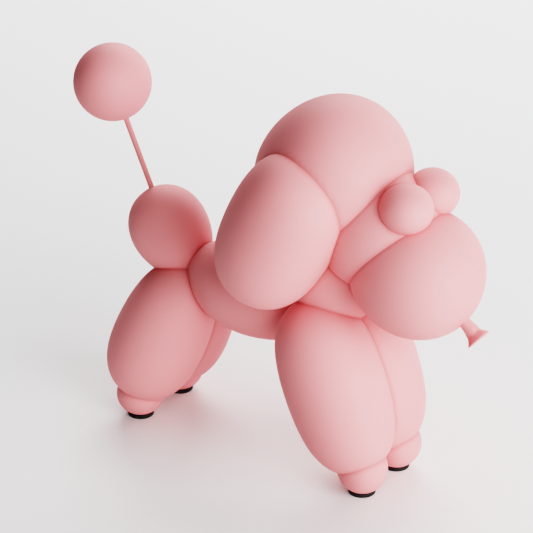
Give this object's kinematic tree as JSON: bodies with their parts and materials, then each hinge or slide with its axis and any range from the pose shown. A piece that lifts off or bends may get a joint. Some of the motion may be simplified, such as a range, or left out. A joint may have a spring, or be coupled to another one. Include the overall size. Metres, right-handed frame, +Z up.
{
  "type": "balloon poodle statue",
  "caption": "Standing cast statue of a poodle made of pressed-together balloon bubbles, with a pompom tail on a thin rod and round foot pads.",
  "frame": {"origin": "on the ground under the middle of the whole length, on the plane of symmetry", "axes": "+X towards the nose, +Y towards the dog's left side, +Z up"},
  "size_m": [0.3893, 0.1786, 0.3172],
  "materials": {
    "pink_lacquer": "cast resin under a smooth matt pink lacquer",
    "painted_steel": "steel rod, sprayed the same matt pink",
    "black_rubber": "matte moulded rubber"
  },
  "bodies": {
    "root": {"poodle": "pink_lacquer", "tail_pompom": "pink_lacquer", "tail_rod": "painted_steel", "pad_front_left": "black_rubber", "pad_front_right": "black_rubber", "pad_hind_left": "black_rubber", "pad_hind_right": "black_rubber"}
  },
  "joints": []
}
